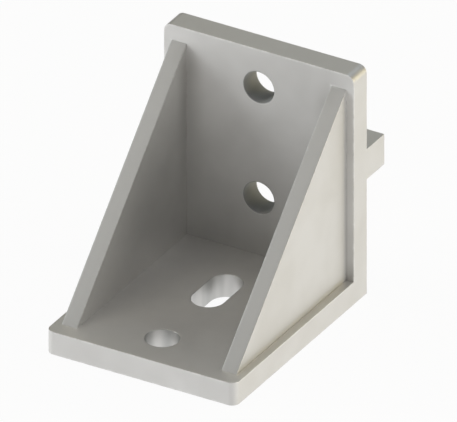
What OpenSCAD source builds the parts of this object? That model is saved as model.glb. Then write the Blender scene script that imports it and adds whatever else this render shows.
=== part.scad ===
// Gusseted angle bracket, cast in one piece.
// A base and a wall meet at a right angle, two triangular gussets tie them together,
// and a square rib across the wall's back drops into a groove of what it is bolted to.
// Millimetres. The origin is the middle of the heel edge, where the base's underside
// and the wall's back face meet. The base runs towards -Y and the wall stands along +Z.

/* [Base and wall] */
// Width of the bracket from side to side
width = 50; // [36:1:120]
// Length of the base, from the wall's back face to its front edge
base_length = 60; // [52:1:150]
// Thickness of the base
base_thickness = 6; // [3:0.5:10]
// Height of the wall, from the base's underside to its top edge
wall_height = 60; // [56:1:150]
// Thickness of the wall
wall_thickness = 6; // [3:0.5:10]
// Radius of the base's two front corners
base_corner_radius = 2; // [0.5:0.5:10]
// Radius of the wall's two top corners
wall_corner_radius = 2; // [0.5:0.5:10]

/* [Gussets] */
// Thickness of each gusset
gusset_thickness = 4; // [2:0.5:8]
// Width of the ledge between each gusset and the bracket's side
gusset_inset = 2; // [0.5:0.5:6]
// Distance from the base's front edge to the gussets' toes
toe_setback = 4; // [1:0.5:15]
// Distance from the wall's top edge down to the gussets' upper ends
crown_setback = 4; // [1:0.5:15]

/* [Screw holes] */
// Diameter of the screw hole in the base
base_hole_d = 8; // [4:0.1:10]
// Distance from the base's front edge to the centre of its screw hole
base_hole_setback = 10; // [7:0.5:15]
// Width of the slot in the base
slot_width = 8; // [4:0.1:10]
// Distance that a screw can travel along the slot
slot_travel = 8; // [1:0.5:15]
// Distance from the wall's back face to the centre of the slot
slot_from_heel = 25; // [21:0.5:29]
// Diameter of the two screw holes in the wall
wall_hole_d = 8; // [4:0.1:9.5]
// Height of the lower wall hole's centre above the base's underside
lower_hole_height = 21; // [16:0.5:24]
// Distance from the wall's top edge down to the upper wall hole's centre
upper_hole_drop = 10; // [7:0.5:13]

/* [Locating rib] */
// Height of the rib's lower face above the base's underside
rib_bottom = 30; // [27:0.5:34]
// Thickness of the rib from its lower to its upper face
rib_thickness = 8; // [3:0.5:11]
// Distance that the rib stands out from the wall's back face
rib_projection = 8; // [2:0.5:15]

/* [Hidden] */
$fn = 96;
// Extra length of a cutting tool past each face that it goes through
clear = 1;
// Inner corner between the base's top and the wall's front face
corner_y = -wall_thickness;
corner_z = base_thickness;
// Ends of the gussets' sloping edges
toe_y = toe_setback - base_length;
crown_z = wall_height - crown_setback;
// Depth that a gusset's root runs into the base and the wall, to merge with them
root_y = wall_thickness / 2;
root_z = base_thickness / 2;

// Flat outline of a plate that starts square at y = 0 and has its two far corners rounded
module flange_outline(reach, radius) {
    straight = reach - radius;
    translate([-width / 2, 0])
        square([width, straight]);
    translate([radius - width / 2, 0])
        square([width - 2 * radius, reach]);
    for (side = [-1, 1])
        translate([side * (width / 2 - radius), straight])
            circle(r = radius);
}

// The base lies on z = 0 and runs forward from the heel
module base_plate() {
    mirror([0, 1, 0])
        linear_extrude(base_thickness)
            flange_outline(base_length, base_corner_radius);
}

// The wall stands on the same heel, with its back face on y = 0
module wall_plate() {
    rotate([90, 0, 0])
        linear_extrude(wall_thickness)
            flange_outline(wall_height, wall_corner_radius);
}

// One gusset, a triangle in the YZ plane, with its root sunk into both plates
module gusset() {
    rotate([90, 0, 90])
        linear_extrude(gusset_thickness)
            polygon([
                [toe_y, corner_z],
                [corner_y, crown_z],
                [corner_y + root_y, crown_z],
                [corner_y + root_y, corner_z - root_z],
                [toe_y, corner_z - root_z]
            ]);
}

// Both gussets, each set in from its side of the bracket by the ledge
module gussets() {
    for (side = [0, 1])
        mirror([side, 0, 0])
            translate([width / 2 - gusset_inset - gusset_thickness, 0, 0])
                gusset();
}

// The rib runs the bracket's full width across the wall's back
module locating_rib() {
    translate([-width / 2, -root_y, rib_bottom])
        cube([width, root_y + rib_projection, rib_thickness]);
}

// Drill for the screw hole near the base's front edge
module base_hole() {
    translate([0, base_hole_setback - base_length, -clear])
        cylinder(d = base_hole_d, h = base_thickness + 2 * clear);
}

// Cutter for the slot, which runs front to back with half-round ends
module base_slot() {
    translate([0, -slot_from_heel, -clear])
        linear_extrude(base_thickness + 2 * clear) {
            square([slot_width, slot_travel], center = true);
            for (end = [-1, 1])
                translate([0, end * slot_travel / 2])
                    circle(d = slot_width);
        }
}

// Drill for a screw hole through the wall at the height z
module wall_hole(z) {
    translate([0, clear, z])
        rotate([90, 0, 0])
            cylinder(d = wall_hole_d, h = wall_thickness + 2 * clear);
}

// The whole casting
module bracket() {
    color([0.80, 0.79, 0.76])
        difference() {
            union() {
                base_plate();
                wall_plate();
                gussets();
                locating_rib();
            }
            base_hole();
            base_slot();
            wall_hole(lower_hole_height);
            wall_hole(wall_height - upper_hole_drop);
        }
}

bracket();
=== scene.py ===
import math

import bmesh
import bpy
from mathutils import Matrix, Vector


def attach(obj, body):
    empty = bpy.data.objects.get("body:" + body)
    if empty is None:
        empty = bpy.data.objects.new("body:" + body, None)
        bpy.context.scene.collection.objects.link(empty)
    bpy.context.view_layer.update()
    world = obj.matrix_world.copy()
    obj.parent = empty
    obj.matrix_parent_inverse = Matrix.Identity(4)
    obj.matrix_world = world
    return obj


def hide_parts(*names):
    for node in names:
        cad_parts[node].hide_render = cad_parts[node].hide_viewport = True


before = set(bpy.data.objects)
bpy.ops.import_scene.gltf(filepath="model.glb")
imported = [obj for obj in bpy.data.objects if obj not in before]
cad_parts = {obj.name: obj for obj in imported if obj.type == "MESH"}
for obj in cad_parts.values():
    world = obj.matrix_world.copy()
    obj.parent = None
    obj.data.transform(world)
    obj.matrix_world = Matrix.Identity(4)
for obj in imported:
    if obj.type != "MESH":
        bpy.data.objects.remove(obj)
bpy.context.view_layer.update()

# The camera
# A parallel view from the bracket's front right, turned 30 degrees round it and
# looking 30 degrees down, at 4.388 pixels to the millimetre.
MM = 0.001
PHOTO_WIDTH = 457
PIXELS_PER_MM = 4.388
TURN = math.radians(30)
DROP = math.radians(30)
MIDDLE_RIGHT = -9.911 * MM
MIDDLE_UP = 12.545 * MM
CAMERA_DISTANCE = 400 * MM
NEAREST_SEEN = 10 * MM
FARTHEST_SEEN = 5000 * MM


def add_to_scene(name, data):
    """Adds an object that shows the given mesh, lamp or lens."""
    added = bpy.data.objects.new(name, data)
    bpy.context.scene.collection.objects.link(added)
    return added


right = Vector((math.cos(TURN), math.sin(TURN), 0))
back = Vector((
    math.sin(TURN) * math.cos(DROP),
    -math.cos(TURN) * math.cos(DROP),
    math.sin(DROP),
))
up = back.cross(right)
lens = bpy.data.cameras.new("camera")
lens.type = "ORTHO"
lens.ortho_scale = PHOTO_WIDTH / PIXELS_PER_MM * MM
lens.clip_start = NEAREST_SEEN
lens.clip_end = FARTHEST_SEEN
camera = add_to_scene("camera", lens)
camera.matrix_world = Matrix.Translation(
    right * MIDDLE_RIGHT + up * MIDDLE_UP + back * CAMERA_DISTANCE
) @ Matrix((right, up, back)).transposed().to_4x4()
bpy.context.scene.camera = camera

# The casting
# Base, wall, both gussets and the rib are one body of aluminium, die-cast in one piece.
# It is blasted to an even, pale, warm grey, which also takes the keenness off its outer
# edges, and handling has polished those edges a little.
EDGE_BREAK = 0.12 * MM
RUBBED_WIDTH = 0.55 * MM
PLATE = 6 * MM
HOLES_START = 15 * MM
HOLES_END = 55 * MM
HOLE_REACH = 4.2 * MM
GUSSET_MIDDLE = 21 * MM
# Strengths of the shade painted along inner edges: full on the ledges, faint in the pocket
LEDGE_SHADE = 1.0
POCKET_SHADE = 0.15
SKIN = 0.01 * MM
SAME_POINT = 0.001 * MM
SAME_PLANE = math.radians(0.5)
SHARP = math.radians(30)
SMALLEST_FIELD = 20 * MM * MM
LARGE_FACES_LEAD = 100


def flat_fields(shape):
    """Gathers neighbouring faces of one plane into fields, and returns the large fields."""
    fields, seen = [], set()
    for first in shape.faces:
        if first in seen:
            continue
        seen.add(first)
        field = [first]
        for face in field:
            for edge in face.edges:
                for other in edge.link_faces:
                    if other not in seen and edge.calc_face_angle() < SAME_PLANE:
                        seen.add(other)
                        field.append(other)
        if sum(face.calc_area() for face in field) > SMALLEST_FIELD:
            fields.append(field)
    return fields


def is_hole_wall(face):
    """Tells whether a face lies on the wall of a hole or of the slot."""
    middle = face.calc_center_median()
    through_base = SKIN < middle.z < PLATE - SKIN and HOLES_START < -middle.y < HOLES_END
    through_wall = SKIN < -middle.y < PLATE - SKIN and HOLES_START < middle.z < HOLES_END
    return abs(middle.x) < HOLE_REACH and (through_base or through_wall)


shape = bmesh.new()
shape.from_mesh(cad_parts["bracket"].data)
bmesh.ops.remove_doubles(shape, verts=shape.verts, dist=SAME_POINT)
bmesh.ops.dissolve_limit(shape, angle_limit=SAME_PLANE, verts=shape.verts, edges=shape.edges)

# A narrow rim inside each flat field, to carry the wear of its outer edges and the painted
# shade of its inner ones
rim = shape.faces.layers.int.new("rim")
for field in flat_fields(shape):
    ring = bmesh.ops.inset_region(
        shape, faces=field, thickness=RUBBED_WIDTH, use_boundary=True, use_even_offset=True
    )
    for face in ring["faces"]:
        face[rim] = 1

# The outer edges, as the blasting left them
rounded = bmesh.ops.bevel(
    shape,
    geom=[edge for edge in shape.edges if edge.is_convex and edge.calc_face_angle() > SHARP],
    offset=EDGE_BREAK,
    offset_type="OFFSET",
    segments=2,
    profile=0.5,
    affect="EDGES",
    material=-1,
    clamp_overlap=True,
)

# Where the casting is rubbed, where shade is painted along its inner edges, and where the die's
# pins cored it
hole_walls = {face for face in shape.faces if is_hole_wall(face)}
edge_faces = set(rounded["faces"]) - hole_walls
rubbed = shape.loops.layers.float.new("rubbed")
painted_shade = shape.loops.layers.float.new("painted_shade")
cored = shape.loops.layers.float.new("cored")


def mark_rim_corner(loop):
    """Marks a corner of a rim as rubbed on an outer edge, or with painted shade on an inner
    one.
    """
    for edge in loop.face.edges:
        if loop.vert not in edge.verts:
            continue
        if edge_faces.intersection(edge.link_faces):
            loop[rubbed] = 1
        elif edge.calc_face_angle() > SHARP:
            on_ledge = abs(loop.vert.co.x) > GUSSET_MIDDLE
            loop[painted_shade] = LEDGE_SHADE if on_ledge else POCKET_SHADE


for face in shape.faces:
    face.smooth = True
    for loop in face.loops:
        if face in hole_walls:
            loop[cored] = 1
        elif face in edge_faces:
            loop[rubbed] = 1
        elif face[rim]:
            mark_rim_corner(loop)
for edge in shape.edges:
    edge.smooth = edge.calc_face_angle() < SHARP
casting_mesh = bpy.data.meshes.new("casting")
shape.to_mesh(casting_mesh)
shape.free()
casting = add_to_scene("casting", casting_mesh)
evened = casting.modifiers.new("evened_shading", "WEIGHTED_NORMAL")
evened.mode = "FACE_AREA"
evened.weight = LARGE_FACES_LEAD
evened.keep_sharp = True

# A share from none to all, and the sockets of a Mix node that take and give colours
WHOLE = (0.0, 1.0)
MIX_UNDER = 6
MIX_OVER = 7
MIX_RESULT = 2


def empty_tree(owner):
    """Turns on the nodes of a material or of the world, clears them and returns their tree."""
    owner.use_nodes = True
    owner.node_tree.nodes.clear()
    return owner.node_tree


def add_node(tree, kind, inputs=None, **settings):
    """Adds a shader node, sets it up, and gives its inputs values or links."""
    made = tree.nodes.new("ShaderNode" + kind)
    for name, value in settings.items():
        setattr(made, name, value)
    for name, value in (inputs or {}).items():
        if isinstance(value, bpy.types.NodeSocket):
            tree.links.new(value, made.inputs[name])
        else:
            made.inputs[name].default_value = value
    return made


def work_out(tree, operation, *values):
    """Adds a Math node for one to three values and returns its result."""
    return add_node(tree, "Math", dict(enumerate(values)), operation=operation).outputs["Value"]


def add_noise(tree, place, scale, roughness, detail=2):
    """Adds a cloudy pattern and returns its value, which stays near a half."""
    clouds = {"Vector": place, "Scale": scale, "Detail": detail, "Roughness": roughness}
    return add_node(tree, "TexNoise", clouds).outputs["Fac"]


def remap(tree, value, span, result, **settings):
    """Returns a value that runs over the result while the given one crosses the span."""
    ranges = {
        "Value": value,
        "From Min": span[0],
        "From Max": span[1],
        "To Min": result[0],
        "To Max": result[1],
    }
    return add_node(tree, "MapRange", ranges, **settings).outputs["Result"]


def lay_over(tree, share, under, over):
    """Mixes one tone over another by a share, and returns the mixed tone."""
    tones = {"Factor": share, MIX_UNDER: under, MIX_OVER: over}
    return add_node(tree, "Mix", tones, data_type="RGBA").outputs[MIX_RESULT]


def read_mark(tree, name):
    """Returns the mark that the mesh's face corners carry under a name."""
    return add_node(tree, "Attribute", attribute_name=name).outputs["Fac"]


blasted = bpy.data.materials.new("blasted_aluminium")
tree = empty_tree(blasted)
place = add_node(tree, "TexCoord").outputs["Object"]

# Slow changes of tone, left by the metal as it cooled against the die
CASTING_GREY = (0.655, 0.647, 0.629, 1)
CLOUDED_GREY = (0.690, 0.682, 0.665, 1)
CLOUD_STOPS = ((0.36, CASTING_GREY), (0.66, CLOUDED_GREY))
cloud = add_noise(tree, place, scale=75, roughness=0.55)
clouded = add_node(tree, "ValToRGB", {"Fac": cloud})
for stop, (level, grey) in zip(clouded.color_ramp.elements, CLOUD_STOPS):
    stop.position = level
    stop.color = grey

# The skin of the casting: a soft ripple, and the small craters that the blasting left
RIPPLE_DEPTH = 0.02 * MM
CRATER_DEPTH = 0.02 * MM
CRATER_SHARE = 0.6
ripple = add_noise(tree, place, scale=620, roughness=0.5)
rippled = add_node(tree, "Bump", {"Height": ripple, "Strength": 0.5, "Distance": RIPPLE_DEPTH})
craters = add_node(
    tree, "TexVoronoi", {"Vector": place, "Scale": 2300, "Smoothness": 0.6}, feature="SMOOTH_F1"
)
grain = add_noise(tree, place, scale=3600, roughness=0.6)
skin_height = work_out(tree, "MULTIPLY_ADD", craters.outputs["Distance"], CRATER_SHARE, grain)
cratered = add_node(tree, "Bump", {
    "Height": skin_height,
    "Strength": 0.6,
    "Distance": CRATER_DEPTH,
    "Normal": rippled.outputs["Normal"],
})

# Bright patches where handling has rubbed the edges, broken up by the grain
RUBBED_GREY = (0.800, 0.793, 0.778, 1)
PATCH_SPAN = (0.40, 0.62)
PATCH_SHARE = (0.0, 0.55)
patches = add_noise(tree, place, scale=420, roughness=0.65)
patchy = remap(tree, patches, PATCH_SPAN, PATCH_SHARE)
rubbed_share = work_out(tree, "MULTIPLY", read_mark(tree, "rubbed"), patchy)
rubbed_tone = lay_over(tree, rubbed_share, clouded.outputs["Color"], RUBBED_GREY)

# Painted shade in the inner corners: the tone is darker along them, and darkest in the upper
# part of the two deep, upright corners between the gussets and the wall.
CORNER_SHADE_GREY = (0.420, 0.410, 0.390, 1)
THIN_SHADE = 0.30
DEEP_SHADE = 0.52
DEEP_CORNER = (19 * MM, -6 * MM, 0)
DEEP_REACH = 5.5 * MM
SHADE_RISES = (12 * MM, 42 * MM)
SHADE_ENDS = (51 * MM, 57 * MM)
thin_painted_shade = work_out(tree, "MULTIPLY", read_mark(tree, "painted_shade"), THIN_SHADE)
position = add_node(tree, "SeparateXYZ", {"Vector": place})
height = position.outputs["Z"]
aside = work_out(tree, "ABSOLUTE", position.outputs["X"])
from_above = add_node(tree, "CombineXYZ", {"X": aside, "Y": position.outputs["Y"]})
to_corner = add_node(
    tree, "VectorMath", {0: from_above.outputs["Vector"], 1: DEEP_CORNER}, operation="DISTANCE"
)
near = remap(
    tree, to_corner.outputs["Value"], (0.0, DEEP_REACH), (DEEP_SHADE, 0.0),
    interpolation_type="SMOOTHSTEP",
)
rising = remap(tree, height, SHADE_RISES, WHOLE)
ending = remap(tree, height, SHADE_ENDS, (1.0, 0.0))
deep_painted_shade = work_out(tree, "MULTIPLY", near, work_out(tree, "MULTIPLY", rising, ending))
painted_shade_share = work_out(tree, "MAXIMUM", thin_painted_shade, deep_painted_shade)
corner_shaded_tone = lay_over(tree, painted_shade_share, rubbed_tone, CORNER_SHADE_GREY)

# The walls of the holes and the slot, painted darker as shade in these recesses, with streaks
# painted along them
# as reflections: upright and plain to see in the base, level and faint in the wall.
HOLE_SHADE_GREY = (0.395, 0.402, 0.392, 1)
STREAK_SHIFT = (65 * MM, 35 * MM, 0)
ALONG_STREAK = 0.08
ACROSS_STREAK = 1.0
STREAK_SPAN = (0.36, 0.64)
FAINTEST_IN_BASE = 0.1
FAINTEST_IN_WALL = 0.5
DEEPEST_STREAK = 0.7
in_wall = work_out(tree, "GREATER_THAN", height, HOLES_START)
stretch = add_node(tree, "CombineXYZ", {
    "X": ACROSS_STREAK,
    "Y": remap(tree, in_wall, WHOLE, (ACROSS_STREAK, ALONG_STREAK)),
    "Z": remap(tree, in_wall, WHOLE, (ALONG_STREAK, ACROSS_STREAK)),
})
drawn = add_node(
    tree, "VectorMath", {0: place, 1: stretch.outputs["Vector"], 2: STREAK_SHIFT},
    operation="MULTIPLY_ADD",
)
streaks = add_noise(tree, drawn.outputs["Vector"], scale=300, roughness=0.5, detail=1)
faintest = remap(tree, in_wall, WHOLE, (FAINTEST_IN_BASE, FAINTEST_IN_WALL))
streaky = remap(tree, streaks, STREAK_SPAN, (faintest, DEEPEST_STREAK))
in_hole = read_mark(tree, "cored")
hole_shade_share = work_out(tree, "MULTIPLY", in_hole, streaky)
hole_shaded_tone = lay_over(tree, hole_shade_share, corner_shaded_tone, HOLE_SHADE_GREY)

# The finish: duller where the tone is darker, smoother where it is rubbed and in the
# base's hole and slot, and dullest in the wall's holes
FINISH_SPAN = (0.30, 0.70)
BLASTED_FINISH = (0.60, 0.52)
RUBBED_FINISH = -0.20
BASE_HOLE_FINISH = -0.16
WALL_HOLE_FINISH = 0.36
blasted_finish = remap(tree, cloud, FINISH_SPAN, BLASTED_FINISH)
outer_finish = work_out(tree, "MULTIPLY_ADD", rubbed_share, RUBBED_FINISH, blasted_finish)
cored_finish = remap(tree, in_wall, WHOLE, (BASE_HOLE_FINISH, WALL_HOLE_FINISH))
finish = work_out(tree, "MULTIPLY_ADD", in_hole, cored_finish, outer_finish)
surface = add_node(tree, "BsdfPrincipled", {
    "Base Color": hole_shaded_tone,
    "Metallic": 1.0,
    "Roughness": finish,
    "Normal": cratered.outputs["Normal"],
})
add_node(tree, "OutputMaterial", {"Surface": surface.outputs["BSDF"]})
casting.data.materials.append(blasted)

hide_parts("bracket")
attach(casting, "root")

# The floor
# A white, matt sheet under the bracket. It shows as nearly plain white, as the
# photograph's ground does, and what is left of it carries the bracket's soft shadow.
# It can be seen through from below, so that the bracket's underside shows.
FLOOR_SIZE = 3000 * MM
FLOOR_DROP = 0.05 * MM
FLOOR_GREY = (0.9, 0.9, 0.9, 1)
WHITE = (1, 1, 1, 1)
WHITE_SHARE = 0.94

sheet = bmesh.new()
bmesh.ops.create_grid(sheet, x_segments=1, y_segments=1, size=FLOOR_SIZE / 2)
bmesh.ops.translate(sheet, verts=sheet.verts, vec=(0, 0, -FLOOR_DROP))
floor_mesh = bpy.data.meshes.new("floor")
sheet.to_mesh(floor_mesh)
sheet.free()
floor = add_to_scene("floor", floor_mesh)

pale = bpy.data.materials.new("pale_floor")
tree = empty_tree(pale)
matt = add_node(tree, "BsdfDiffuse", {"Color": FLOOR_GREY})
white = add_node(tree, "Emission", {"Color": WHITE, "Strength": 1})
ray = add_node(tree, "LightPath").outputs
mirrored = work_out(tree, "ADD", ray["Is Glossy Ray"], ray["Is Transmission Ray"])
looked_at = work_out(tree, "ADD", ray["Is Camera Ray"], mirrored)
white_share = work_out(tree, "MULTIPLY", looked_at, WHITE_SHARE)
upper_side = add_node(tree, "MixShader", {
    0: white_share,
    1: matt.outputs["BSDF"],
    2: white.outputs["Emission"],
})
clear_side = add_node(tree, "BsdfTransparent")
side = add_node(tree, "NewGeometry")
sheet_surface = add_node(tree, "MixShader", {
    0: side.outputs["Backfacing"],
    1: upper_side.outputs["Shader"],
    2: clear_side.outputs["BSDF"],
})
add_node(tree, "OutputMaterial", {"Surface": sheet_surface.outputs["Shader"]})
pale.cycles.emission_sampling = "NONE"
floor.data.materials.append(pale)

# The lights
# Soft round panels a metre off: three low ones, two of them on the right and one on the
# left, and four weaker ones higher up. The room is white as far up as the horizon, as
# the floor is, and gives a dim, even light from above it.
PANEL_SIZE = 600 * MM
PANEL_DISTANCE = 1000 * MM
LIT_POINT = Vector((0, -30 * MM, 30 * MM))
ROOM_LIGHT = 0.1
HORIZON = (0.005, 0.02)


def add_panel(name, azimuth, elevation, power, tint):
    """Adds a soft panel that faces the bracket, at so many degrees from its right side
    towards its back and so many above the floor."""
    around, above = math.radians(azimuth), math.radians(elevation)
    direction = Vector((
        math.cos(around) * math.cos(above),
        math.sin(around) * math.cos(above),
        math.sin(above),
    ))
    light = bpy.data.lights.new(name, "AREA")
    light.shape = "DISK"
    light.size = PANEL_SIZE
    light.energy = power
    light.color = tint
    lamp = add_to_scene(name, light)
    lamp.location = LIT_POINT + direction * PANEL_DISTANCE
    lamp.rotation_euler = (-direction).to_track_quat("-Z", "Y").to_euler()


# Degrees round and up, power in watts, and tint
add_panel("right_panel", 0, 8, 3.5, (1.0, 0.98, 0.92))
add_panel("back_right_panel", 30, 8, 2.35, (1.0, 0.85, 0.43))
add_panel("left_panel", 205, 8, 4.9, (0.93, 0.98, 1.0))
add_panel("back_left_panel", 120, 35, 0.25, (1.0, 0.90, 0.60))
add_panel("back_panel", 90, 40, 0.8, (0.70, 0.85, 1.0))
add_panel("high_right_panel", 0, 68, 2.1, (1.0, 0.98, 0.97))
add_panel("high_left_panel", 180, 68, 1.9, (1.0, 0.96, 0.86))

room = bpy.data.worlds.new("room")
tree = empty_tree(room)
outward = add_node(tree, "TexCoord").outputs["Object"]
skyward = add_node(tree, "SeparateXYZ", {"Vector": outward}).outputs["Z"]
brightness = remap(tree, skyward, HORIZON, (1.0, ROOM_LIGHT))
walls = add_node(tree, "Background", {"Color": WHITE, "Strength": brightness})
add_node(tree, "OutputWorld", {"Surface": walls.outputs["Background"]})
bpy.context.scene.world = room
bpy.context.scene.view_settings.view_transform = "Standard"
